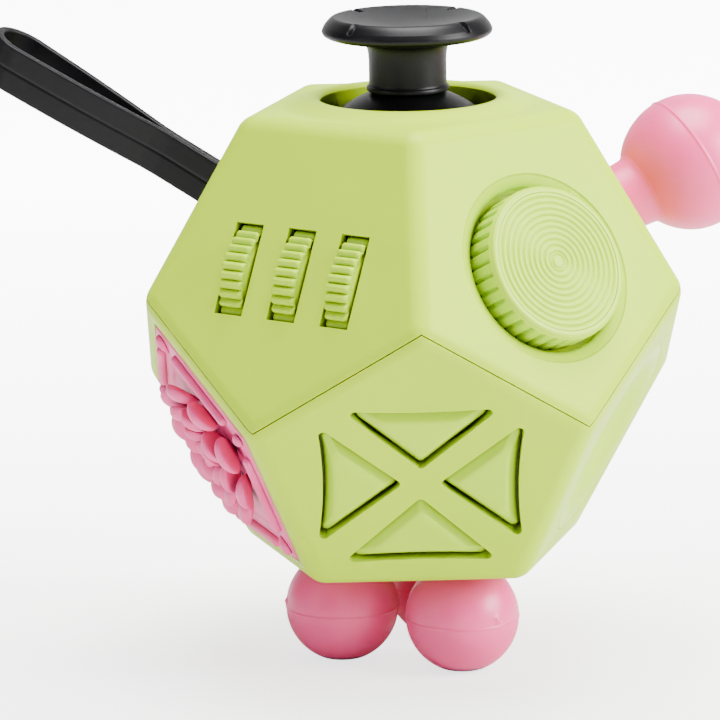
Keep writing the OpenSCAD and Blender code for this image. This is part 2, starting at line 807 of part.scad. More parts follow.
// ---- Click buttons ----
module click_button(k) {
    color(pink) on_face(az_click, false) click_at(k) {
        translate([0, 0, key_foot]) cylinder(r = click_r, h = click_h - key_foot);
        translate([0, 0, click_h - eps]) cylinder(r1 = click_r, r2 = click_r - 0.5, h = 0.5);
        translate([0, 0, key_foot]) cylinder(r = click_r + click_lip, h = flange_top - key_foot);
    }
}
module click_mat() {
    color(nylon) on_face(az_click, false) translate([0, 0, mat_top - mat_t]) {
        cylinder(r = click_mat_r, h = mat_t);
        for (k = [0:4]) click_at(k) translate([0, 0, mat_t - eps])
            cylinder(r1 = 1.3, r2 = 1, h = key_foot - mat_top - running);
    }
}
module click_plate() {
    color(nylon) on_face(az_click, false) backing_plate(click_screw_at, plate_z);
}
module click_screws() {
    color(steel) on_face(az_click, false) for (p = click_screw_at)
        screw(p[0], p[1], plate_z - backing_t, back_screw_len);
}

// ---- Slider ----
module slide_knob() {
    neck_l = slide_l - 2 * slide_travel - 2 * free;
    shoe_z = -wall - free - shoe_t;
    color(pink) on_face(az_slide, false) {
        translate([0, 0, shoe_z + eps]) linear_extrude(height = thumb_gap - shoe_z)
            stadium(neck_l, slide_w - 2 * free);
        translate([0, 0, thumb_gap]) linear_extrude(height = thumb_h) stadium(thumb_l, thumb_w);
        translate([0, 0, shoe_z]) linear_extrude(height = shoe_t)
            square([thumb_l + 1, thumb_w], center = true);
    }
}
module slide_keeper() {
    bed_w = thumb_w + 2 * free;
    bed_l = thumb_l + 1 + 2 * slide_travel + 1;
    color(nylon) on_face(az_slide, false) difference() {
        translate([0, 0, keeper_low]) linear_extrude(height = -keeper_low - wall)
            square([bed_l + 2, bed_w + 2.4], center = true);
        translate([0, 0, keeper_low + 1.25]) linear_extrude(height = -keeper_low)
            square([bed_l, bed_w], center = true);
    }
}

// ---- Thumb dish ----
module worry_dish() {
    ball = (worry_mouth * worry_mouth + worry_deep * worry_deep) / (2 * worry_deep);
    color(lime) on_face(az_worry, false) difference() {
        union() {
            translate([0, 0, -worry_rim_t]) cylinder(r = worry_rim_r, h = worry_rim_t);
            intersection() {
                translate([0, 0, ball - worry_deep]) sphere(r = ball + worry_skin, $fn = 128);
                translate([0, 0, -worry_deep - 2])
                    cylinder(r = worry_rim_r - worry_skin, h = worry_deep + 2 - eps);
            }
        }
        translate([0, 0, ball - worry_deep]) sphere(r = ball, $fn = 128);
    }
}

upper_shell();
lower_shell();
joining_pins();
stick_cap();
stick_dome();
stick_post();
gimbal_ring();
gimbal_cross_pin();
stick_housing();
stick_spring();
stick_screws();
gear_wheel(-1);  // gear_left
gear_wheel(0);  // gear_middle
gear_wheel(1);  // gear_right
gear_axle();
gear_frame();
gear_screws();
dial_knob();
dial_washer();
dial_screw();
key(0);  // key_right
key(1);  // key_top
key(2);  // key_left
key(3);  // key_bottom
key_mat();
key_plate();
key_screws();
petal_pad();
squeeze_ball();
foot_ball(0);  // foot_ball_1
foot_ball(1);  // foot_ball_2
foot_ball(2);  // foot_ball_3
strap_loop();
strap_anchor();
rocker();
rocker_pin();
rocker_bezel();
click_button(0);  // click_button_1
click_button(1);  // click_button_2
click_button(2);  // click_button_3
click_button(3);  // click_button_4
click_button(4);  // click_button_5
click_mat();
click_plate();
click_screws();
slide_knob();
slide_keeper();
worry_dish();
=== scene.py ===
# %% [markdown]
# # A twelve-sided fidget toy
# This file rebuilds the looks of a small desk toy in Blender: a lime plastic
# body with a black thumb stick, ridged wheels, a dial, a cross pad, a strap and
# pink silicone balls and petals. The CAD model gives every place and size, and
# each cell below makes one piece or one finish and says why it is made that way.

# %% Start: the CAD frame and the tools
import json
import math
import bpy
import bmesh
import numpy as np
from mathutils import Matrix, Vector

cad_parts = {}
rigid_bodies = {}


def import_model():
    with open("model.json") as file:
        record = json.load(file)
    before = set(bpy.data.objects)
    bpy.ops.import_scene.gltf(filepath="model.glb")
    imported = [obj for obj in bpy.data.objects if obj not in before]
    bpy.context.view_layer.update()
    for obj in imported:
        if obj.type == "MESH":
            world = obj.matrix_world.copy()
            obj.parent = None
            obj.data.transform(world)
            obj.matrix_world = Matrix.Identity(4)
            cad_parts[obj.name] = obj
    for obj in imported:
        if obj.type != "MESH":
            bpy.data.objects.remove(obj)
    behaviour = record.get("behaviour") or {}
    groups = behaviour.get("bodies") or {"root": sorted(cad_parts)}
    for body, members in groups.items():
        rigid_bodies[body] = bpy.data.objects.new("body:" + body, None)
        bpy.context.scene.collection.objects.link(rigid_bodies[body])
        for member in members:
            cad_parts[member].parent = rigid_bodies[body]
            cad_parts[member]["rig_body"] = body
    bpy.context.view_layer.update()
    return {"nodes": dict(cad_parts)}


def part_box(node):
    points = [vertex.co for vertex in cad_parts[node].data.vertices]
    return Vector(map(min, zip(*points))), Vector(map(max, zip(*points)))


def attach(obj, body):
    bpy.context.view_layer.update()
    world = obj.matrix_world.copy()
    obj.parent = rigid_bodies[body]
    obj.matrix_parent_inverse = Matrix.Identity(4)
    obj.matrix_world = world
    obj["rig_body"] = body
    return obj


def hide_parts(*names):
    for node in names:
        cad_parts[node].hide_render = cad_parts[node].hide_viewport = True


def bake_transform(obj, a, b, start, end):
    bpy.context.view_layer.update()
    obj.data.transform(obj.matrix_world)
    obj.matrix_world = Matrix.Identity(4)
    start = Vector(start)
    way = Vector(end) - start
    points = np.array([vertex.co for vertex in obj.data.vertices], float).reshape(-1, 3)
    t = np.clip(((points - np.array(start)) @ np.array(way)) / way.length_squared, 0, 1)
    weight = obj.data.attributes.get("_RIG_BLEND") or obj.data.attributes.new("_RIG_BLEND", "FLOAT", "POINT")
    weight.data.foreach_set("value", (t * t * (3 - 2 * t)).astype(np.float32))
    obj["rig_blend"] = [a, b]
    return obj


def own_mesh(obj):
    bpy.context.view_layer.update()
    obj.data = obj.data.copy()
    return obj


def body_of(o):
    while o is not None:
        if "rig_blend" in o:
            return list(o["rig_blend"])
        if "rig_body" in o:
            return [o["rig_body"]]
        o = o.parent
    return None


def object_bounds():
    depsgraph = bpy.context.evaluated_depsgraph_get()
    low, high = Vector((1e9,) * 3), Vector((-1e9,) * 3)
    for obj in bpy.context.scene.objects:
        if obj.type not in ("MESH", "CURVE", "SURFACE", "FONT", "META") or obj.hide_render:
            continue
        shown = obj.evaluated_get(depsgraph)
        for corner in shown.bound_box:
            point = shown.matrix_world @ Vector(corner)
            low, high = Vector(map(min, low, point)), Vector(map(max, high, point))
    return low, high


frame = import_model()
MM = 0.001
nodes = frame["nodes"]

# %% [markdown]
# ## Where the faces are
# A dodecahedron has ten side faces. Each one leans up or down by 26.6 degrees,
# and everything on it is easiest to describe in its own flat map: x to the
# right, y up the slope, z straight out. One function turns such a map into the
# toy's own coordinates, so each piece can be designed as if it lay on a table.

# %% Face maps
SLOPE = math.atan(0.5)
# The shell's highest point stands this far above the flat top face
COLLAR = 0.9 * MM
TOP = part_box("upper_shell")[1][2] - COLLAR
HALF = TOP / 2


def side_face(azimuth, upper):
    """(origin, right, up, out) of a side face.

    Out points along the azimuth, tilted up or down by the slope. Up is out turned a quarter towards the sky,
    and right is up x out.
    """
    az, el = math.radians(azimuth), SLOPE if upper else -SLOPE
    out = np.array([math.cos(az) * math.cos(el), math.sin(az) * math.cos(el), math.sin(el)])
    up = np.array([-math.cos(az) * math.sin(el), -math.sin(az) * math.sin(el), math.cos(el)])
    return np.array([0, 0, HALF]) + HALF * out, np.cross(up, out), up, out


def on_face(points, face):
    """Points in a face's map, in millimetres, as points of the toy in metres: origin + x right + y up + z out."""
    origin, right, up, out = face
    p = np.asarray(points, float) * MM
    return origin + p[..., :1] * right + p[..., 1:2] * up + p[..., 2:] * out


GEARS = side_face(-126, True)
DIAL = side_face(-54, True)
BALL = side_face(18, True)
STRAP = side_face(162, True)
KEYS = side_face(-90, False)
PETALS = side_face(-162, False)
SKY = (np.array([0, 0, TOP]), np.array([1.0, 0, 0]), np.array([0, 1.0, 0]), np.array([0, 0, 1.0]))
UNDER = (np.zeros(3), np.array([1.0, 0, 0]), np.array([0, -1.0, 0]), np.array([0, 0, -1.0]))
print("face distance from the centre:", round(HALF / MM, 2), "mm")

# %% [markdown]
# ## From a grid of points to a mesh
# Most pieces here are surfaces of two parameters: how far round and how far
# along. numpy works out the whole grid at once, and neighbouring points become
# four-sided faces. Where a grid closes on itself or shrinks to a pole, points
# that fall together are merged, and the normals are made to point outwards.

# %% Mesh helpers
MERGE_WITHIN, NO_LENGTH = 2e-6, 1e-7


def grid_quads(rows, columns, start, close_rows, close_columns):
    """Corner numbers of the faces of a rows x columns grid: (i, j), (i, j+1), (i+1, j+1), (i+1, j)."""
    i, j = np.meshgrid(np.arange(rows - (not close_rows)), np.arange(columns - (not close_columns)),
                       indexing="ij")
    i, j = i.ravel(), j.ravel()
    i2, j2 = (i + 1) % rows, (j + 1) % columns
    return start + np.stack([i * columns + j, i * columns + j2, i2 * columns + j2, i2 * columns + j], 1)


def piece(name, grids, material, body, replaces=(), sharp=50):
    """One object out of several grids of points. Each grid is (points, close_rows, close_columns)."""
    points = np.concatenate([g[0].reshape(-1, 3) for g in grids])
    quads, start = [], 0
    for g, close_rows, close_columns in grids:
        quads.append(grid_quads(g.shape[0], g.shape[1], start, close_rows, close_columns))
        start += g.shape[0] * g.shape[1]
    quads = np.concatenate(quads)
    mesh = bpy.data.meshes.new(name)
    mesh.from_pydata(points, [], quads.tolist())
    merge(mesh, sharp)
    return add(name, mesh, material, body, replaces)


def merge(mesh, sharp):
    """Merges points that fall together, points every face outwards and shades smooth up to an angle."""
    bm = bmesh.new()
    bm.from_mesh(mesh)
    bmesh.ops.remove_doubles(bm, verts=bm.verts, dist=MERGE_WITHIN)
    bmesh.ops.dissolve_degenerate(bm, edges=bm.edges, dist=NO_LENGTH)
    bmesh.ops.recalc_face_normals(bm, faces=bm.faces)
    bm.to_mesh(mesh)
    bm.free()
    mesh.shade_smooth()
    mesh.set_sharp_from_angle(angle=math.radians(sharp))


def add(name, mesh, material, body, replaces=()):
    """Puts a finished mesh in the scene with its material and the body that it moves with."""
    obj = bpy.data.objects.new(name, mesh)
    bpy.context.scene.collection.objects.link(obj)
    mesh.materials.append(material)
    if replaces:
        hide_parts(*replaces)
    if body:
        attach(obj, body)
    print(name, len(mesh.vertices), "points", len(mesh.polygons), "faces")
    return obj


def rounded(outline, times=2):
    """An open outline with its corners cut: each pass puts points a quarter and three quarters along every side."""
    p = np.asarray(outline, float)
    for _ in range(times):
        a, b = p[:-1], p[1:]
        cut = np.stack([0.75 * a + 0.25 * b, 0.25 * a + 0.75 * b], 1).reshape(-1, p.shape[1])
        p = np.concatenate([p[:1], cut, p[-1:]])
    return p


def revolved(profile, steps, centre=(0, 0)):
    """A profile of (radius, height) turned round an upright axis: (x + r cos a, y + r sin a, z)."""
    a = np.linspace(0, 2 * math.pi, steps, endpoint=False)[None]
    r, z = profile[:, :1], profile[:, 1:2]
    return np.stack([centre[0] + r * np.cos(a), centre[1] + r * np.sin(a), z + 0 * a], -1)


def arc_profile(radius, height, start, end, steps):
    """(radius, height) along part of a circle whose centre is on the axis, from one latitude to another."""
    a = np.radians(np.linspace(start, end, steps))
    return np.stack([radius * np.cos(a), height + radius * np.sin(a)], 1)


def smooth_step(x, low, high):
    """0 below low, 1 above high, and 3t^2 - 2t^3 between them."""
    t = np.clip((x - low) / (high - low), 0, 1)
    return t * t * (3 - 2 * t)

# %% [markdown]
# ## Finishes
# Moulded plastic is never one flat colour. It has slow shifts of colour from
# the way it filled the mould, a fine skin that breaks up the gloss, a few hair
# scratches, and paler corners where fingers rub, which also serve as a painted
# edge highlight. Deep, narrow gaps get painted shade: their colour is darkened.
# These effects are shared, so each is a node group with named inputs, placed in
# every material with its own values. The groups give out colours, masks and
# heights. The shader itself stays in the material.

# %% Node helpers
def node_group(name, inputs, outputs):
    """An empty shader group with named sockets. inputs are (name, kind, value)."""
    group = bpy.data.node_groups.new(name, "ShaderNodeTree")
    for label, kind, value in inputs:
        socket = group.interface.new_socket(label, in_out="INPUT", socket_type=kind)
        socket.default_value = value
    for label, kind in outputs:
        group.interface.new_socket(label, in_out="OUTPUT", socket_type=kind)
    return group, group.nodes.new("NodeGroupInput"), group.nodes.new("NodeGroupOutput")


def node(tree, kind, links=(), **values):
    """A node with its settings, and its inputs linked to other sockets or set to numbers."""
    n = tree.nodes.new(kind)
    for key, value in values.items():
        setattr(n, key, value)
    for key, value in dict(links).items():
        if isinstance(value, bpy.types.NodeSocket):
            tree.links.new(value, n.inputs[key])
        else:
            n.inputs[key].default_value = value
    return n


def ranged(tree, value, low, high, to_low=0.0, to_high=1.0):
    """The value mapped from one range to another, and held at its ends."""
    return node(tree, "ShaderNodeMapRange", {"Value": value, "From Min": low, "From Max": high,
                                             "To Min": to_low, "To Max": to_high}).outputs[0]


def colour_mix(tree, factor, a, b):
    """Colour a where the factor is 0 and colour b where it is 1."""
    n = node(tree, "ShaderNodeMix", data_type="RGBA")
    for index, value in ((0, factor), (6, a), (7, b)):
        if isinstance(value, bpy.types.NodeSocket):
            tree.links.new(value, n.inputs[index])
        else:
            n.inputs[index].default_value = value
    return n.outputs[2]


COLOUR, FLOAT = "NodeSocketColor", "NodeSocketFloat"

# %% Group: moulded skin
skin, skin_in, skin_out = node_group(
    "Moulded skin",
    [("Colour", COLOUR, (0.5, 0.5, 0.5, 1)), ("Second Colour", COLOUR, (0.4, 0.4, 0.4, 1)),
     ("Drift Size", FLOAT, 60.0), ("Grain Size", FLOAT, 2500.0),
     ("Roughness", FLOAT, 0.35), ("Roughness Spread", FLOAT, 0.1)],
    [("Colour", COLOUR), ("Roughness", FLOAT), ("Height", FLOAT)])
place = node(skin, "ShaderNodeTexCoord").outputs["Object"]
drift = node(skin, "ShaderNodeTexNoise",
             {"Vector": place, "Scale": skin_in.outputs["Drift Size"], "Detail": 3.0})
grain = node(skin, "ShaderNodeTexNoise",
             {"Vector": place, "Scale": skin_in.outputs["Grain Size"], "Detail": 2.0})
hair_place = node(skin, "ShaderNodeMapping",
                  {"Vector": place, "Scale": (1.0, 0.06, 0.5), "Rotation": (0.4, 0.7, 0.5)})
hairs = node(skin, "ShaderNodeTexNoise", {"Vector": hair_place.outputs[0], "Scale": 2200.0, "Detail": 1.0})
scratch = ranged(skin, hairs.outputs[0], 0.7, 0.76)
shade = ranged(skin, drift.outputs[0], 0.35, 0.65)
skin.links.new(colour_mix(skin, shade, skin_in.outputs["Colour"], skin_in.outputs["Second Colour"]),
               skin_out.inputs["Colour"])
spread = node(skin, "ShaderNodeMath", {0: shade, 1: skin_in.outputs["Roughness Spread"]}, operation="MULTIPLY")
dulled = node(skin, "ShaderNodeMath", {0: scratch, 1: 0.08, 2: spread.outputs[0]}, operation="MULTIPLY_ADD")
rough = node(skin, "ShaderNodeMath", {0: dulled.outputs[0], 1: skin_in.outputs["Roughness"]}, operation="ADD")
skin.links.new(rough.outputs[0], skin_out.inputs["Roughness"])
bumps = node(skin, "ShaderNodeMath", {0: scratch, 1: -0.2, 2: grain.outputs[0]}, operation="MULTIPLY_ADD")
skin.links.new(bumps.outputs[0], skin_out.inputs["Height"])

# %% [markdown]
# Edge wear and a painted edge highlight need to know where the corners are. The
# Bevel node looks up the surface's direction as if the corner were rounded.
# Where that differs from the true direction there is an edge, and the dot
# product of the two tells how sharp it is. A noise breaks the line up, as
# fingers would. An ambient occlusion node paints shade into deep, narrow gaps.

# %% Group: rubbed edges with painted highlight, and painted crevice shade
edges_and_gaps, edges_and_gaps_in, edges_and_gaps_out = node_group(
    "Rubbed edges, painted highlight and crevice shade",
    [("Colour", COLOUR, (0.5, 0.5, 0.5, 1)), ("Rubbed And Highlit Colour", COLOUR, (0.8, 0.8, 0.8, 1)),
     ("Amount", FLOAT, 0.5), ("Patch Size", FLOAT, 350.0)],
    [("Colour", COLOUR), ("Mask", FLOAT)])
soft = node(edges_and_gaps, "ShaderNodeBevel", samples=4)
soft.inputs["Radius"].default_value = 0.35 * MM
true_way = node(edges_and_gaps, "ShaderNodeNewGeometry").outputs["Normal"]
turned = node(edges_and_gaps, "ShaderNodeVectorMath", {0: soft.outputs[0], 1: true_way}, operation="DOT_PRODUCT")
edge = ranged(edges_and_gaps, turned.outputs["Value"], 0.99, 0.85)
spots = node(edges_and_gaps, "ShaderNodeTexNoise", {"Vector": node(edges_and_gaps, "ShaderNodeTexCoord").outputs["Object"],
                                          "Scale": edges_and_gaps_in.outputs["Patch Size"], "Detail": 3.0})
patchy = node(edges_and_gaps, "ShaderNodeMath", {0: edge, 1: ranged(edges_and_gaps, spots.outputs[0], 0.35, 0.6)},
              operation="MULTIPLY")
amount = node(edges_and_gaps, "ShaderNodeMath", {0: patchy.outputs[0], 1: edges_and_gaps_in.outputs["Amount"]},
              operation="MULTIPLY")
# Paler colour on sharp edges: finger wear together with a painted edge highlight
rubbed_and_highlit_colour = colour_mix(edges_and_gaps, amount.outputs[0], edges_and_gaps_in.outputs["Colour"], edges_and_gaps_in.outputs["Rubbed And Highlit Colour"])
# Painted shade in deep, narrow gaps: the less sky a point sees within a millimetre, the darker its colour is made
sky = node(edges_and_gaps, "ShaderNodeAmbientOcclusion", {"Distance": 1.1 * MM}, samples=6)
painted_crevice_shade = ranged(edges_and_gaps, sky.outputs["AO"], 0.62, 0.12)
crevice_shade_colour = colour_mix(edges_and_gaps, 0.93, rubbed_and_highlit_colour, (0.0, 0.004, 0.0, 1))
edges_and_gaps.links.new(colour_mix(edges_and_gaps, painted_crevice_shade, rubbed_and_highlit_colour, crevice_shade_colour), edges_and_gaps_out.inputs["Colour"])
edges_and_gaps.links.new(amount.outputs[0], edges_and_gaps_out.inputs["Mask"])


# %% The finishes themselves
STRENGTH_PER_BUMP, SKIN_RELIEF = 10, 0.02 * MM


def finish(name, colour, second, rubbed_and_highlit, rough_at, rough_spread=0.08, grain_size=2500.0, bump=0.02,
           rub_and_highlight_amount=0.5, drift_size=60.0, **shader_values):
    """A moulded finish: the skin group, then the rubbed edges with painted highlight and painted crevice shade, into
    one Principled shader.
    """
    material = bpy.data.materials.new(name)
    material.use_nodes = True
    tree = material.node_tree
    shader = tree.nodes["Principled BSDF"]
    skin_node = node(tree, "ShaderNodeGroup", node_tree=skin)
    for label, value in (("Colour", (*colour, 1)), ("Second Colour", (*second, 1)), ("Drift Size", drift_size),
                         ("Grain Size", grain_size), ("Roughness", rough_at), ("Roughness Spread", rough_spread)):
        skin_node.inputs[label].default_value = value
    edges_and_gaps_node = node(tree, "ShaderNodeGroup", node_tree=edges_and_gaps)
    edges_and_gaps_node.inputs["Rubbed And Highlit Colour"].default_value = (*rubbed_and_highlit, 1)
    edges_and_gaps_node.inputs["Amount"].default_value = rub_and_highlight_amount
    tree.links.new(skin_node.outputs["Colour"], edges_and_gaps_node.inputs["Colour"])
    tree.links.new(edges_and_gaps_node.outputs["Colour"], shader.inputs["Base Color"])
    tree.links.new(skin_node.outputs["Roughness"], shader.inputs["Roughness"])
    relief = node(tree, "ShaderNodeBump", {"Height": skin_node.outputs["Height"]})
    relief.inputs["Strength"].default_value = bump * STRENGTH_PER_BUMP
    relief.inputs["Distance"].default_value = SKIN_RELIEF
    tree.links.new(relief.outputs[0], shader.inputs["Normal"])
    for label, value in shader_values.items():
        shader.inputs[label.replace("_", " ")].default_value = value
    return material


lime_body = finish("lime_moulded_plastic", (0.45, 0.66, 0.0), (0.42, 0.63, 0.0), (0.60, 0.80, 0.03), 0.34,
                   Specular_IOR_Level=0.12)
lime_keys = finish("lime_key_plastic", (0.44, 0.67, 0.0), (0.41, 0.64, 0.0), (0.62, 0.82, 0.04), 0.3,
                   rub_and_highlight_amount=0.35, Specular_IOR_Level=0.25)
black_satin = finish("black_satin_plastic", (0.0012, 0.001, 0.0016), (0.002, 0.0018, 0.0025),
                     (0.02, 0.02, 0.023), 0.34, bump=0.03, rub_and_highlight_amount=0.4, Specular_IOR_Level=0.22)
black_rubber = finish("black_strap_silicone", (0.0015, 0.0012, 0.002), (0.0025, 0.0022, 0.003),
                      (0.02, 0.02, 0.023), 0.4, bump=0.04, grain_size=1800.0, rub_and_highlight_amount=0.5,
                      Specular_IOR_Level=0.22)
pink_ball = finish("pink_ball_silicone", (0.88, 0.075, 0.27), (0.84, 0.06, 0.24), (0.95, 0.25, 0.38), 0.34,
                   bump=0.03, grain_size=1500.0, rub_and_highlight_amount=0.3, drift_size=90.0,
                   Subsurface_Weight=0.3, Subsurface_Scale=0.003, Subsurface_Radius=(1.0, 0.35, 0.2))
pink_pad = finish("pink_petal_silicone", (0.86, 0.085, 0.3), (0.78, 0.06, 0.24), (0.95, 0.25, 0.38), 0.4,
                  bump=0.04, grain_size=1500.0, rub_and_highlight_amount=0.4, drift_size=120.0,
                  Subsurface_Weight=0.2, Subsurface_Scale=0.0015, Subsurface_Radius=(1.0, 0.35, 0.2))
nylon = finish("natural_nylon", (0.62, 0.60, 0.53), (0.56, 0.54, 0.47), (0.75, 0.73, 0.67), 0.5,
               bump=0.04, grain_size=1200.0, rub_and_highlight_amount=0.2, Subsurface_Weight=0.15, Subsurface_Scale=0.001)
steel = finish("plated_steel", (0.56, 0.57, 0.58), (0.50, 0.51, 0.53), (0.75, 0.76, 0.78), 0.28,
               bump=0.03, rub_and_highlight_amount=0.3, Metallic=1.0)
print("finishes:", len(bpy.data.materials))

# %% [markdown]
# ## Ridged wheels
# Three thumb wheels stand in slots. The real ones are moulded with rounded
# ridges right across their width. One wheel is a profile across the width,
# turned round the axle, whose radius rises and falls as |cos| of the angle:
# that gives a round crest and a sharp valley, which a plain sine would not.

# %% Wheels
RIDGES = 40
WHEEL_R, WHEEL_W, RIDGE_DEEP, BORE = 7.2, 3.0, 0.5, 1.15


def ridged_wheel(steps_per_ridge=12):
    """(radius, width) profile turned round x.

    radius = r - weight deep (1 - |cos(ridges a / 2)|), where weight is 1 on the rim and 0 on the sides.
    """
    half = WHEEL_W / 2
    side = [(BORE, -half), (WHEEL_R - 1.4, -half), (WHEEL_R - 1.2, -half + 0.12),
            (WHEEL_R - 0.75, -half + 0.12), (WHEEL_R - 0.6, -half), (WHEEL_R - 0.28, -half), (WHEEL_R - 0.03, -half + 0.22),
            (WHEEL_R, -half + 0.5), (WHEEL_R, 0)]
    left = rounded(side, 2)
    profile = np.concatenate([left, left[-2::-1] * (1, -1)])
    a = np.linspace(0, 2 * math.pi, RIDGES * steps_per_ridge, endpoint=False)[None]
    r = profile[:, :1]
    weight = smooth_step(r, WHEEL_R - 0.9, WHEEL_R - 0.1)
    r = r - RIDGE_DEEP * weight * (1 - np.abs(np.cos(RIDGES * a / 2)))
    return np.stack([profile[:, 1:2] + 0 * a, -r * np.sin(a), r * np.cos(a)], -1)


def middle(node_name):
    """The middle of a CAD node's box, in metres."""
    low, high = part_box(node_name)
    return (np.array(low) + np.array(high)) / 2


wheel = ridged_wheel()
for side in ("left", "middle", "right"):
    flat = (middle("gear_" + side), *GEARS[1:])
    piece("ridged_wheel_" + side, [(on_face(wheel, flat), True, True)], lime_keys,
          "gear_" + side, ["gear_" + side], sharp=40)

# %% [markdown]
# ## Dial
# A knurled dial turns in a dished well. Its side has 36 scallops and its top has
# fine rings like a record. The scallops are a ripple on the radius that fades
# out above the side, and the rings are small dips in the height.

# %% Dial
SCALLOPS = 36
RING_PITCH, RING_START, RING_WIDE, RING_DEEP, SCALLOP_DEEP = 0.7, 0.45, 0.14, 0.2, 0.4
DIAL_R, DIAL_TOP, DIAL_LOW, SPINDLE_R, SPINDLE_LOW = 8.9, 2.35, -2.2, 1.5, -5.1


def dial_surface(steps_per_scallop=16):
    """A turned profile with a notched side and a ringed top.

    radius = r - SCALLOP_DEEP weight max(cos(36 a), 0)^2, height = z - RING_DEEP dips(r), one dip every RING_PITCH.
    """
    top_r = DIAL_R - 0.35
    shape = rounded([(0, SPINDLE_LOW), (SPINDLE_R, SPINDLE_LOW), (SPINDLE_R, DIAL_LOW), (DIAL_R - 0.25, DIAL_LOW),
                     (DIAL_R, DIAL_LOW + 0.25), (DIAL_R, DIAL_TOP - 0.8), (DIAL_R - 0.06, DIAL_TOP - 0.55),
                     (top_r + 0.2, DIAL_TOP - 0.45), (top_r + 0.1, DIAL_TOP - 0.12), (top_r - 0.12, DIAL_TOP)], 2)
    radii = np.linspace(top_r - 0.2, 0, 260)
    nearest_ring = RING_PITCH * np.round((radii - RING_START) / RING_PITCH)
    dip = np.exp(-((radii - RING_START - nearest_ring) / RING_WIDE) ** 2)
    dip *= (radii > 0.6) & (radii < top_r - 0.5)
    hub = 0.18 * np.exp(-((radii - 0.8) / 0.12) ** 2)
    top = np.stack([radii, DIAL_TOP - RING_DEEP * dip - hub], 1)
    profile = np.concatenate([shape, top])
    a = np.linspace(0, 2 * math.pi, SCALLOPS * steps_per_scallop, endpoint=False)[None]
    r, z = profile[:, :1], profile[:, 1:2]
    weight = smooth_step(r, DIAL_R - 0.4, DIAL_R - 0.1) * (1 - smooth_step(z, DIAL_TOP - 0.9, DIAL_TOP - 0.6))
    notch = np.clip(np.cos(SCALLOPS * a), 0, 1) ** 2
    r = r - SCALLOP_DEEP * weight * notch
    return np.stack([r * np.cos(a), r * np.sin(a), z + 0 * a], -1)


# Set from the photo: 0.13 mm from the CAD's spin axis at (0.3, -1.2), so the dial wobbles as it turns
DIAL_X, DIAL_Y = 0.42, -1.25
dial_face = (on_face([DIAL_X, DIAL_Y, 0], DIAL), *DIAL[1:])
piece("knurled_dial", [(on_face(dial_surface(), dial_face), False, True)], lime_keys,
      "dial", ["dial_knob"], sharp=35)

# %% [markdown]
# ## Cross pad
# Four keys point at the middle. Each is a three-cornered pyramid with a flat
# top: two straight sides, and an outer side that bows slightly inwards. A wide
# bevel runs all round. Every level of the key is the same outline, moved in a
# little further, so the key is a loft of outlines from its foot to its flat.

# %% Keys
PAD_Y, KEY_GAP, KEY_BEVEL, CORNER_R, KEY_TIP = -1.3, 0.25, 1.1, 0.55, 2.0
# A key rests against the lower side of its window, so its gap is widest above it
KEY_REST = 0.2
KEY_FOOT, FLANGE_TOP, FLANGE_OUT = -3.2, -2.1, 0.35
# Quarter turns, distance to the outer side, half its length, and how far it bows in
KEY_SHAPES = {"right": (0, 11.5, 8.6, 0.65), "top": (1, 10.6, 8.7, 0.35),
              "left": (2, 11.5, 8.6, 0.65), "bottom": (3, 11.4, 8.8, 0.35)}


def key_outline(reach, spread, hollow, inset, side_steps=26, corner_steps=12):
    """A closed outline of a window moved in by inset.

    Its three corner circles lie where both neighbouring sides are inset + corner radius away. Short arcs about
    them join two straight sides and one arc of a large circle.
    """
    bow = (spread ** 2 + hollow ** 2) / (2 * hollow)
    arc_x = reach + bow - hollow
    deep = inset + CORNER_R
    along = math.atan2(spread, reach - KEY_TIP)
    normal = math.pi / 2 + along
    tip_c = np.array([KEY_TIP + deep / math.sin(along), 0.0])
    # The upper outer corner is on the line from tip_c along the side, bow + deep from the arc's centre
    way = np.array([math.cos(along), math.sin(along)])
    back = tip_c - np.array([arc_x, 0.0])
    b, c = back @ way, back @ back - (bow + deep) ** 2
    outer_c = tip_c + way * (-b - math.sqrt(b * b - c))
    swing = math.atan2(outer_c[1], arc_x - outer_c[0])

    def corner(centre, a, b, steps):
        t = np.linspace(a, b, steps)
        return centre + CORNER_R * np.stack([np.cos(t), np.sin(t)], 1)

    tip_arc = corner(tip_c, -normal, -2 * math.pi + normal, corner_steps)
    top_arc = corner(outer_c, normal, -swing, corner_steps)
    low_arc = top_arc[::-1] * (1, -1)
    t = np.linspace(swing, -swing, side_steps + 2)[1:-1]
    far = np.array([arc_x, 0]) + (bow + inset) * np.stack([-np.cos(t), np.sin(t)], 1)
    blend = np.linspace(0, 1, side_steps + 2)[1:-1, None]
    up_side = tip_arc[-1] * (1 - blend) + top_arc[0] * blend
    down_side = low_arc[-1] * (1 - blend) + tip_arc[0] * blend
    return np.concatenate([tip_arc, up_side, top_arc, far, low_arc, down_side])


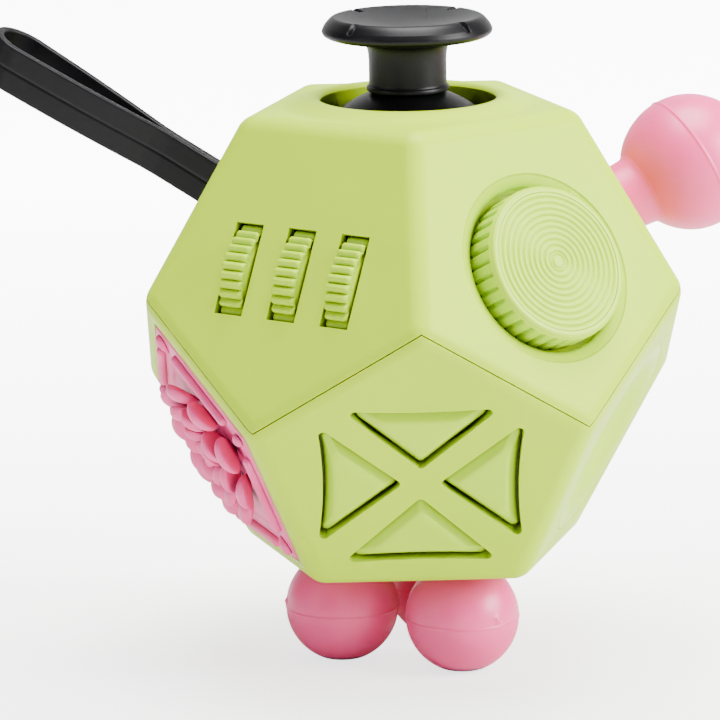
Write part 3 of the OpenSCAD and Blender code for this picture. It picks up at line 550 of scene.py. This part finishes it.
def key_surface(turns, reach, spread, hollow):
    """Outlines stacked from the foot to the flat top, then drawn in to the middle of each end."""
    levels = [(-FLANGE_OUT, KEY_FOOT), (-FLANGE_OUT, FLANGE_TOP), (KEY_GAP, FLANGE_TOP),
              (KEY_GAP, -KEY_BEVEL - 0.25), (KEY_GAP + 0.02, -KEY_BEVEL - 0.05), (KEY_GAP + 0.1, -KEY_BEVEL + 0.08)]
    levels += [(KEY_GAP + KEY_BEVEL * t, -KEY_BEVEL * (1 - t)) for t in (0.2, 0.4, 0.6, 0.8, 0.94)]
    levels += [(KEY_GAP + KEY_BEVEL * 1.02, -0.035), (KEY_GAP + KEY_BEVEL * 1.08, 0.0)]
    outlines = [(key_outline(reach, spread, hollow, inset), z) for inset, z in levels]
    rings = [np.column_stack([outline, np.full(len(outline), z)]) for outline, z in outlines]
    centre = np.array([[(KEY_TIP + 2 * reach) / 3, 0]])

    def to_middle(ring, shares):
        xy = ring[:, :2]
        return [np.column_stack([centre + (xy - centre) * s, ring[:, 2]]) for s in shares]

    rings = to_middle(rings[0], (0, 0.5)) + rings + to_middle(rings[-1], (0.8, 0.5, 0.25, 0))
    points = np.stack(rings)
    c, s = math.cos(turns * math.pi / 2), math.sin(turns * math.pi / 2)
    x, y = points[..., 0] * c - points[..., 1] * s, points[..., 0] * s + points[..., 1] * c
    return np.stack([x, y + PAD_Y - KEY_REST, points[..., 2]], -1)


for side, (turns, reach, spread, hollow) in KEY_SHAPES.items():
    piece("bevelled_key_" + side, [(on_face(key_surface(turns, reach, spread, hollow), KEYS), False, True)],
          lime_keys, "key_" + side, ["key_" + side], sharp=60)

# %% [markdown]
# ## Thumb stick
# The stick's cap is a shallow dish with a thick rim and four short slots. It is
# turned like a bowl, and the slots are dips in the height that follow the angle
# as well as the radius. Below it a smooth dome closes the hole, so nothing
# falls in when the stick tips over.

# %% Stick cap and dome
CAP_R, CAP_TOP, SLEEVE_R, STICK_PIVOT, DOME_R, SLOT_DEEP = 9.75, 10.0, 4.4, -11.0, 13.0, 0.55
DOME_TOP = STICK_PIVOT + DOME_R


def stick_cap_surface(steps=512):
    """A turned profile whose height drops by SLOT_DEEP in four slots with soft sides.

    The slots lie at 45, 135, 225 and 315 degrees.
    """
    crest, wide, under = CAP_R - 1.5, CAP_TOP - 1.65, CAP_TOP - 2.4
    low = DOME_TOP - 0.6
    shape = rounded([(2.0, low), (SLEEVE_R + 0.3, low), (SLEEVE_R + 0.3, DOME_TOP + 0.05),
                     (SLEEVE_R + 0.05, DOME_TOP + 0.2),
                     (SLEEVE_R, DOME_TOP + 0.6), (SLEEVE_R, under - 1.1), (SLEEVE_R + 0.9, under - 0.25),
                     (CAP_R - 1.6, under - 0.1), (CAP_R - 0.4, under + 0.2), (CAP_R, wide),
                     (CAP_R - 0.35, wide + 0.7)], 3)
    rim_r = np.linspace(CAP_R - 0.35, crest, 26)[1:]
    rim = np.stack([rim_r, wide + 0.7 + (CAP_TOP - wide - 0.7) * np.sin(np.linspace(0, math.pi / 2, 26)[1:])], 1)
    dish_r = np.linspace(crest, 0, 40)[1:]
    dish = np.stack([dish_r, CAP_TOP - 1.0 * (1 - (dish_r / crest) ** 2) ** 1.15], 1)
    profile = np.concatenate([shape, rim, dish])
    points = revolved(profile, steps)
    a = np.linspace(0, 2 * math.pi, steps, endpoint=False)[None]
    r = profile[:, :1]
    off = np.abs(a % (math.pi / 2) - math.pi / 4)
    across = r * np.sin(off)
    inside = (1 - smooth_step(across, 0.24, 0.42)) * smooth_step(r, crest - 1.25, crest - 0.95)
    inside *= (profile[:, 1:2] > wide) * (1 - smooth_step(r, CAP_R - 0.5, CAP_R - 0.25))
    points[..., 2] -= SLOT_DEEP * inside
    return points


def dome_surface(steps=256):
    """A zone of a ball of radius DOME_R from the stick outwards, 1 thick, with a rounded skirt.

    Both faces are arcs of latitude.
    """
    outer = arc_profile(DOME_R, STICK_PIVOT, 42, 81, 60)
    inner = arc_profile(DOME_R - 1, STICK_PIVOT, 80.4, 42, 60)
    lip = rounded([inner[-1], inner[-1] + (0.35, -0.4), outer[0] + (-0.1, -0.25), outer[0]], 2)[1:-1]
    return revolved(np.concatenate([outer, inner, lip]), steps)


piece("dished_stick_cap", [(on_face(stick_cap_surface(), SKY), False, True)], black_satin,
      "stick", ["stick_cap"], sharp=60)
piece("stick_dome_skirt", [(on_face(dome_surface(), SKY), True, True)], black_satin,
      "stick", ["stick_dome"], sharp=60)

# %% [markdown]
# ## Silicone balls
# The large ball is squeezed with two fingers, and three smaller ones are the
# feet. Silicone balls come out of two half moulds, which leave a thin raised
# line round the middle. Each ball is one turned profile, from the plug inside
# the shell, up the neck and over the ball, with the line as a narrow bell-shaped
# rise. They are soft, so the feet are flat where they stand instead of sinking in whole.

# %% Balls
BALL_DROOP = 0.6


def ball_profile(radius, centre, neck, plug_low, plug_out, line_high, line_wide, flat=None):
    """Plug, neck, then an arc with radius r + line exp(-(latitude / width)^2), cut off level where the ball stands."""
    start = -math.degrees(math.acos(neck / radius))
    fine = np.linspace(-4, 4, 33)
    lat = np.sort(np.concatenate([np.linspace(start, 90, 110), fine]))
    bulge = radius + line_high * np.exp(-(lat / line_wide) ** 2)
    a = np.radians(lat)
    arc = np.stack([bulge * np.cos(a), centre + bulge * np.sin(a)], 1)
    foot = [(0, plug_low), (neck + plug_out, plug_low), (neck + plug_out, plug_low + 1),
            (neck, plug_low + 1.15), (neck, arc[0, 1] - 0.35)]
    lead = rounded(foot + [tuple(arc[3])], 2)
    profile = np.concatenate([lead, arc[4:]])
    if flat is not None:
        over = profile[:, 1] - flat
        profile[:, 1] = flat + np.where(over > -0.3, -0.3 * np.exp(-(over + 0.3) / 0.3), over)
    profile[0, 0] = profile[-1, 0] = 0
    return profile


ball = revolved(ball_profile(7.9, 12.3, 4.0, -3.4, 1.2, 0.11, 1.2), 256)
# The soft neck lets the heavy ball hang a little: points sink further as they get further out
ball[..., 1] -= BALL_DROOP * smooth_step(ball[..., 2], 0.0, 10.0)
big_ball = piece("large_squeeze_ball", [(on_face(ball, BALL), False, True)], pink_ball,
                 "housing", ["squeeze_ball"], sharp=80)
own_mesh(big_ball)

FOOT_R, FOOT_DROP, FOOT_PITCH, FOOT_AZ, FOOT_FLAT = 6.5, 6.34, 8.56, 173.6, 0.35
foot_shape = revolved(ball_profile(FOOT_R, FOOT_DROP, 1.9, -5.2, 1.2, 0.08, 1.1,
                                   flat=FOOT_DROP + FOOT_R - FOOT_FLAT), 224)
for k in range(3):
    # A small sprue nub on the outer side of each ball: a bell-shaped rise in both directions
    a = math.radians(FOOT_AZ + 120 * k)
    points = foot_shape.copy()
    centre = np.array([0, 0, FOOT_DROP])
    away = points - centre
    reach = np.linalg.norm(away, axis=-1, keepdims=True)
    nub_way = np.array([math.cos(a), math.sin(a), -0.12])
    turn = np.clip((away @ nub_way)[..., None] / (reach * np.linalg.norm(nub_way)), -1, 1)
    points += away / reach * 0.28 * np.exp(-(np.arccos(turn) / 0.06) ** 2)
    points += np.array([FOOT_PITCH * math.cos(a), FOOT_PITCH * math.sin(a), 0])
    foot = piece("foot_ball_soft_%d" % (k + 1), [(on_face(points, UNDER), False, True)], pink_ball,
                 "housing", ["foot_ball_%d" % (k + 1)], sharp=80)
    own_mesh(foot)

# %% [markdown]
# ## Petal pad
# One face is a soft pad to stroke: a rounded bar along each edge, a small leaf
# at each corner, and rings of overlapping petals in the middle. A petal is a
# leaf-shaped dome: its width grows and closes again along its length, and its
# back arches up. The same leaf is used for all of them, turned and moved.

# %% Petals
PAD_IN_R, PAD_TOP, PAD_LOW, PAD_SUNK = 13.35, 0.15, -1.2, 0.6


def pentagon_radius(angle, inradius, corner=0.0):
    """Distance to the side of a pentagon with a corner straight up.

    inradius / cos(angle to the nearest side's middle)
    """
    off = (angle - math.pi / 2) % (2 * math.pi / 5) - math.pi / 5
    return inradius / np.cos(off) * (1 - corner * smooth_step(np.abs(off), 0.35, 0.63))


def pad_base(steps=400):
    """Pentagon rings: down the side, over a rounded edge, a flat border, then a shallow hollow to the middle."""
    a = np.linspace(0, 2 * math.pi, steps, endpoint=False)[None]
    rings = rounded([(0, PAD_LOW), (PAD_IN_R, PAD_LOW), (PAD_IN_R, PAD_TOP - 0.2), (PAD_IN_R - 0.2, PAD_TOP),
                     (PAD_IN_R - 0.6, PAD_TOP), (PAD_IN_R - 3.2, PAD_TOP), (PAD_IN_R - 3.7, PAD_TOP - 0.5),
                     (PAD_IN_R - 5, PAD_TOP - PAD_SUNK), (0, PAD_TOP - PAD_SUNK)], 2)
    r = pentagon_radius(a, rings[:, :1], 0.015)
    return np.stack([r * np.cos(a), r * np.sin(a), rings[:, 1:2] + 0 * a], -1)


def leaf(length, width, height, tilt, lift=0.0, steps=(22, 20)):
    """A petal along +x, then tipped up about its root.

    Outline w(s) = sin(pi s^1.3)^0.55, y = width / 2 w cos t, z = height w^0.8 sin t (0.75 + 0.25 s) on the back,
    and a quarter as deep underneath.
    """
    s = np.linspace(0, 1, steps[0])[:, None]
    t = np.linspace(0, 2 * math.pi, steps[1], endpoint=False)[None]
    outline = np.clip(np.sin(math.pi * s ** 1.3), 0, 1) ** 0.55
    y = width / 2 * outline * np.cos(t)
    up = np.where(np.sin(t) > 0, np.sin(t), 0.25 * np.sin(t))
    z = height * np.clip(outline, 0, 1) ** 0.8 * up * (0.75 + 0.25 * s)
    x = length * s + 0 * t
    c, d = math.cos(tilt), math.sin(tilt)
    return np.stack([x * c - z * d, y, x * d + z * c + lift], -1)


def placed(points, angle, out=0.0, along=0.0):
    """Points moved outwards by out and sideways by along, then turned about the pad's middle."""
    c, s = math.cos(angle), math.sin(angle)
    x, y = points[..., 0] + out, points[..., 1] + along
    return np.stack([x * c - y * s, x * s + y * c, points[..., 2]], -1)


def edge_bar(length, radius, steps=(40, 16)):
    """A capsule along y, sunk by half: its radius falls as sqrt(1 - u^2) over the rounded ends."""
    y = np.linspace(-1, 1, steps[0])[:, None]
    y = np.sign(y) * np.abs(y) ** 0.6 * length / 2
    over = np.clip(np.abs(y) - (length / 2 - radius), 0, radius) / radius
    r = radius * np.sqrt(np.clip(1 - over ** 2, 0, 1))
    t = np.linspace(0, 2 * math.pi, steps[1], endpoint=False)[None]
    return np.stack([r * np.cos(t), y + 0 * t, PAD_TOP + 0.15 + r * np.sin(t)], -1)


side_angles = [math.pi / 2 + math.pi / 5 + 2 * math.pi / 5 * k for k in range(5)]
corner_angles = [math.pi / 2 + 2 * math.pi / 5 * k for k in range(5)]
floor_z = PAD_TOP - PAD_SUNK
grids = [(on_face(pad_base(), PETALS), False, True)]
for a in side_angles:
    grids.append((on_face(placed(edge_bar(11.4, 0.62), a, PAD_IN_R - 1.75), PETALS), False, True))
for a in corner_angles:
    grids.append((on_face(placed(leaf(2.6, 1.6, 0.75, 0.05, PAD_TOP), a, PAD_IN_R - 0.75), PETALS), False, True))
for ring, (count, out, length, width, height, tilt, turn) in enumerate(
        [(9, 5.9, 4.3, 4.6, 1.4, 0.62, 0.0), (8, 3.7, 4.3, 4.2, 1.4, 0.8, 0.5), (5, 1.6, 3.9, 3.8, 1.3, 0.95, 0.0),
         (3, 0.2, 3.1, 2.7, 1.1, 1.15, 0.5)]):
    for k in range(count):
        a = math.pi / 2 + 2 * math.pi / count * (k + turn)
        petal = leaf(length, width, height, tilt, floor_z)
        grids.append((on_face(placed(petal, a, out), PETALS), False, True))
piece("petal_pad_soft", grids, pink_pad, "housing", ["petal_pad"], sharp=70)

# %% [markdown]
# ## Strap
# The strap is one moulded silicone band. Its two strands lie together at the
# root, part a third of the way up and meet again round the end. It is a flat
# section with a faint groove, carried along a path: up one strand, round the
# end circle and down the other. The path is tangent to the circle, so the band
# has no kink. The strap bends at its root, so it is blended across the hinge.

# %% Strap
STRAP_UP, STRAP_HINGE, STRAP_LEAN, STRAP_T = 3.7, 1.6, math.radians(3), 0.96
STRAP_FLAT, STRAP_EDGE = 2.4, 0.2
STRAP_EYE, EYE_R, STRAND_X, PARTING_H = 27.5, 3.4, 0.5, 8.2


def strap_path():
    """Centre line (x, height above the hinge).

    A straight strand, a tangent to the end circle, the circle, and the mirror image back down.
    """
    back = np.array([-STRAND_X, STRAP_EYE - PARTING_H])
    far = math.hypot(*back)
    lean = math.asin(EYE_R / far) - math.atan2(-back[0], back[1])
    turn = np.linspace(-lean, math.pi + lean, 90)
    end = np.array([0, STRAP_EYE]) + EYE_R * np.stack([np.cos(turn), np.sin(turn)], 1)
    h = np.linspace(0, 1, 40)[:, None]
    slant = np.array([STRAND_X, PARTING_H]) * (1 - h) + end[0] * h
    slant[:, 0] += 0.35 * np.sin(math.pi * h[:, 0])
    root = np.stack([np.full(24, STRAND_X), np.linspace(-STRAP_HINGE - 2.0, PARTING_H - 1.0, 24)], 1)
    right = np.concatenate([rounded(np.concatenate([root[-2:], slant[2:4]]), 2)[1:-1], slant[4:-1]])
    right = np.concatenate([root[:-1], right])
    return np.concatenate([right, end, right[::-1] * (-1, 1)])


def band_section():
    """Half width u and thickness v of a flat band.

    Level faces, a bell-shaped groove along the outer one, and rounded edges.
    """
    u = np.concatenate([np.linspace(-STRAP_FLAT, -0.5, 6), np.linspace(-0.4, 0.4, 15),
                        np.linspace(0.5, STRAP_FLAT, 6)])
    half = STRAP_T / 2
    outer = np.stack([u, half - 0.10 * np.exp(-(u / 0.16) ** 2)], 1)
    turn = np.linspace(math.pi / 2, -math.pi / 2, 11)[1:-1]
    edge = np.stack([STRAP_FLAT + STRAP_EDGE * np.cos(turn),
                     (half - STRAP_EDGE) * np.sign(np.sin(turn)) + STRAP_EDGE * np.sin(turn)], 1)
    inner = np.stack([u[::-1], np.full(u.size, -half)], 1)
    return np.concatenate([outer, edge, inner, edge[::-1] * (-1, 1)])


def strap_surface():
    """point = path + normal v + width u, on a map that leans back by STRAP_LEAN about the hinge.

    Both ends are drawn in to close them.
    """
    path = strap_path()
    way = np.gradient(path, axis=0)
    way /= np.linalg.norm(way, axis=1, keepdims=True)
    normal = np.stack([way[:, 1], -way[:, 0]], 1)
    section = band_section()
    size = np.ones(len(path))
    path = np.concatenate([path[:1], path, path[-1:]])
    normal = np.concatenate([normal[:1], normal, normal[-1:]])
    size = np.concatenate([[0], size, [0]])[:, None]
    u, v = section[None, :, 0] * size, section[None, :, 1] * size
    x = path[:, :1] + normal[:, :1] * v
    h = path[:, 1:] + normal[:, 1:] * v
    y = STRAP_UP + h * math.sin(STRAP_LEAN) - u * math.cos(STRAP_LEAN)
    z = STRAP_HINGE + h * math.cos(STRAP_LEAN) + u * math.sin(STRAP_LEAN)
    return np.stack([x, y, z], -1)


def slab(half_x, half_y, low, high, centre_y, steps=96):
    """A flat plug whose outline is the rounded box |x/a|^6 + |y/b|^6 = 1, with rounded rims."""
    a = np.linspace(0, 2 * math.pi, steps, endpoint=False)[None]
    r = (np.abs(np.cos(a) / half_x) ** 6 + np.abs(np.sin(a) / half_y) ** 6) ** (-1 / 6)
    rings = rounded([(0, low), (0.97, low), (1, low + 0.1), (1, high - 0.1), (0.97, high), (0, high)], 1)
    share = rings[:, :1]
    return np.stack([share * r * np.cos(a), centre_y + share * r * np.sin(a), rings[:, 1:2] + 0 * a], -1)


strap = piece("moulded_strap", [(on_face(strap_surface(), STRAP), False, True),
                                (on_face(slab(4, 4, -2.8, -1.85, STRAP_UP), STRAP), False, True)],
              black_rubber, None, ["strap_loop", "strap_anchor"], sharp=60)
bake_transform(strap, "housing", "strap", start=tuple(on_face([0, STRAP_UP, 0.2], STRAP)),
         end=tuple(on_face([0, STRAP_UP, 3.0], STRAP)))

# %% [markdown]
# ## Housing and the hard pieces on the back
# The CAD mesh of a hard piece is right in shape, but it is loose triangles with
# flat shading and perfectly sharp edges. A copy is merged and shaded smooth up to
# an angle. All but the two housing halves also get a small live bevel, because
# moulded edges are never sharp: they catch a thin line of light, and that line is
# what makes plastic look real.

# %% Smoothed copies of CAD pieces
def moulded_copy(node_name, new_name, material, edge_mm, sharp=32):
    """A merged copy of a CAD piece with a bevel of edge_mm on its sharp edges, on the same body."""
    source = nodes[node_name]
    mesh = source.data.copy()
    mesh.name = new_name
    mesh.materials.clear()
    mesh.transform(source.matrix_world)
    merge(mesh, sharp)
    obj = add(new_name, mesh, material, body_of(source)[0], [node_name])
    if edge_mm:
        bevel = obj.modifiers.new("moulded edge", "BEVEL")
        bevel.width = edge_mm * MM
        bevel.segments = 2
        bevel.limit_method = "ANGLE"
        bevel.angle_limit = math.radians(40)
        bevel.use_clamp_overlap = True
    weighted = obj.modifiers.new("flat faces stay flat", "WEIGHTED_NORMAL")
    weighted.keep_sharp = True
    return obj


moulded_copy("upper_shell", "housing_upper_half", lime_body, 0)
moulded_copy("lower_shell", "housing_lower_half", lime_body, 0)
moulded_copy("worry_dish", "smooth_thumb_dish", lime_keys, 0.15)
moulded_copy("rocker", "rocker_switch_paddle", black_satin, 0.3)
moulded_copy("rocker_bezel", "rocker_switch_bezel", black_satin, 0.2)
moulded_copy("slide_knob", "slider_thumb_pad", pink_pad, 0.35)
for k in range(1, 6):
    moulded_copy("click_button_%d" % k, "clicking_button_%d" % k, pink_pad, 0.25)

# %% [markdown]
# ## Everything inside
# Under the keys and the buttons lie two mats with a dome for each of them. A
# dome gives way as it is pressed, and only one joint can flatten one object, so
# each dome is a turned piece of its own, standing on a flat sheet.

# %% Mats with a dome under each key and button
MAT_LOW, MAT_TOP, MAT_DOME_TOP, DOME_KEEP, MAT_EDGE = -5.2, -4.4, -3.25, 0.3, 0.15


def domed_mat(node_name, face, centre, radius, domes, low_r, high_r):
    """A flat sheet, and a dome for each (joint, x, y), named after that joint."""
    body = body_of(nodes[node_name])[0]
    rim = radius - MAT_EDGE
    sheet = revolved(np.array([(0, MAT_LOW), (rim, MAT_LOW), (radius, MAT_LOW + MAT_EDGE),
                               (radius, MAT_TOP - MAT_EDGE), (rim, MAT_TOP), (0, MAT_TOP)]), 64, centre)
    piece(node_name + "_sheet", [(on_face(sheet, face), False, True)], nylon, body, [node_name])
    for joint, x, y in domes:
        shape = revolved(np.array([(0, MAT_TOP), (low_r, MAT_TOP), (high_r + 0.1, MAT_DOME_TOP - MAT_EDGE),
                                   (high_r - MAT_EDGE, MAT_DOME_TOP), (0, MAT_DOME_TOP)]), 32, (x, y))
        dome = piece("%s_dome_%s" % (node_name, joint), [(on_face(shape, face), False, True)],
                     nylon, body, [node_name])
        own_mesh(dome)


KEY_DOME_AT, KEY_MAT_Y, CLICK_RING = 6.6, -0.6, 6.6
domed_mat("key_mat", KEYS, (0, KEY_MAT_Y), 9.9,
          [("key_right_press", KEY_DOME_AT, KEY_MAT_Y), ("key_top_press", 0, KEY_MAT_Y + KEY_DOME_AT),
           ("key_left_press", -KEY_DOME_AT, KEY_MAT_Y), ("key_bottom_press", 0, KEY_MAT_Y - KEY_DOME_AT)], 2.0, 1.3)
click_angles = [math.radians(90 + 72 * k) for k in range(5)]
domed_mat("click_mat", side_face(54, False), (0, 0), 7.9,
          [("click_%d_press" % (k + 1), CLICK_RING * math.cos(a), CLICK_RING * math.sin(a))
           for k, a in enumerate(click_angles)], 1.3, 1.0)

# %% [markdown]
# The other hidden pieces keep their CAD meshes. They still get a real finish:
# pale nylon for the frames and plates, and plated steel for the pins, screws
# and the spring. They show through slots and gaps, and when the toy is opened.

# %% Finishes of the inner pieces
steel_pieces = ("gimbal_cross_pin", "stick_spring", "stick_screws", "gear_axle", "gear_screws", "dial_washer",
                "dial_screw", "key_screws", "rocker_pin", "click_screws")
nylon_pieces = ("joining_pins", "stick_post", "gimbal_ring", "stick_housing", "gear_frame", "key_plate",
                "click_plate", "slide_keeper")
for names, material in ((steel_pieces, steel), (nylon_pieces, nylon)):
    for name in names:
        nodes[name].data.materials.clear()
        nodes[name].data.materials.append(material)
print("inner pieces finished:", len(steel_pieces) + len(nylon_pieces))

# %% [markdown]
# ## Studio
# The toy stands on a pale sweep: a floor that curves up into a wall, so there is
# no horizon. Large soft lights above and at both sides give the glossy plastic
# broad, soft reflections. A long lens keeps the shape free of perspective
# stretch. The camera looks down at the toy by about twelve degrees.

# %% Floor
floor_low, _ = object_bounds()


def sweep(width=3.0, front=-1.2, back=0.55, bend=0.5, wall=1.2):
    """A floor, a quarter circle and a wall as one profile in (y, z), drawn out along x."""
    a = np.linspace(0, math.pi / 2, 32)
    profile = np.concatenate([np.stack([np.linspace(front, back, 12), np.zeros(12)], 1),
                              np.stack([back + bend * np.sin(a), bend * (1 - np.cos(a))], 1),
                              [(back + bend, bend + wall)]])
    x = np.linspace(-width / 2, width / 2, 7)[None]
    return np.stack([x + 0 * profile[:, :1], profile[:, :1] + 0 * x,
                     profile[:, 1:2] + floor_low[2] + 0 * x], -1)


paper = bpy.data.materials.new("pale_paper_painted_glow")
paper.use_nodes = True
fibre = node(paper.node_tree, "ShaderNodeTexNoise",
             {"Vector": node(paper.node_tree, "ShaderNodeTexCoord").outputs["Object"], "Scale": 300.0})
paper_shader = paper.node_tree.nodes["Principled BSDF"]
paper_colour = colour_mix(paper.node_tree, fibre.outputs[0], (0.84, 0.84, 0.84, 1), (0.88, 0.88, 0.88, 1))
paper.node_tree.links.new(paper_colour, paper_shader.inputs["Base Color"])
paper_shader.inputs["Roughness"].default_value = 0.7
paper_shader.inputs["Emission Color"].default_value = (1.0, 1.0, 1.0, 1)
# The sweep glows for camera rays only, from 1.6 at the front to 9 at the back: painted light, not a lamp
seen = node(paper.node_tree, "ShaderNodeLightPath").outputs["Is Camera Ray"]
depth = node(paper.node_tree, "ShaderNodeSeparateXYZ",
             {"Vector": node(paper.node_tree, "ShaderNodeTexCoord").outputs["Object"]}).outputs["Y"]
painted_glow_by_depth = ranged(paper.node_tree, depth, -0.04, 0.3, 1.6, 9.0)
glow = node(paper.node_tree, "ShaderNodeMath", {0: seen, 1: painted_glow_by_depth}, operation="MULTIPLY")
paper.node_tree.links.new(glow.outputs[0], paper_shader.inputs["Emission Strength"])
floor_points = sweep()
floor_mesh = bpy.data.meshes.new("studio_sweep")
floor_mesh.from_pydata(floor_points.reshape(-1, 3), [],
                       grid_quads(*floor_points.shape[:2], 0, False, False).tolist())
floor_mesh.shade_smooth()
floor_mesh.materials.append(paper)
floor = bpy.data.objects.new("studio_sweep", floor_mesh)
bpy.context.scene.collection.objects.link(floor)


# %% Lights and camera
def softbox(name, at, size, power):
    """A square area light at a point, turned to the toy's middle."""
    data = bpy.data.lights.new(name, "AREA")
    data.energy, data.size = power, size
    lamp = bpy.data.objects.new(name, data)
    bpy.context.scene.collection.objects.link(lamp)
    lamp.location = at
    aim = Matrix.Translation((0, 0, HALF)).translation - lamp.location
    lamp.rotation_euler = aim.to_track_quat("-Z", "Y").to_euler()


softbox("light_above", (0.05, 0.0, 0.7), 0.5, 16.0)
softbox("light_left", (-0.75, -0.35, 0.3), 0.4, 1.2)
softbox("light_right", (0.78, -0.3, 0.42), 0.5, 20.0)
softbox("light_front", (0.05, -0.95, 0.15), 0.4, 1.0)
world = bpy.data.worlds.new("bright_room")
bpy.context.scene.world = world
world.use_nodes = True
world.node_tree.nodes["Background"].inputs["Color"].default_value = (1.0, 1.0, 1.0, 1)
world.node_tree.nodes["Background"].inputs["Strength"].default_value = 0.13

lens = bpy.data.cameras.new("camera")
lens.lens, lens.sensor_width = 245, 36
lens.clip_start = 0.01
camera = bpy.data.objects.new("camera", lens)
bpy.context.scene.collection.objects.link(camera)
right, up, forward = ((0.99948701, -0.02711286, -0.01704717), (0.02254734, 0.21767604, 0.97576061),
                      (0.0227449, 0.97564442, -0.2181757))
camera.matrix_world = Matrix([(right[i], up[i], -forward[i], p) for i, p in
                              enumerate((-0.01872, -0.54739, HALF + 0.11873))] + [(0, 0, 0, 1)])
bpy.context.scene.camera = camera
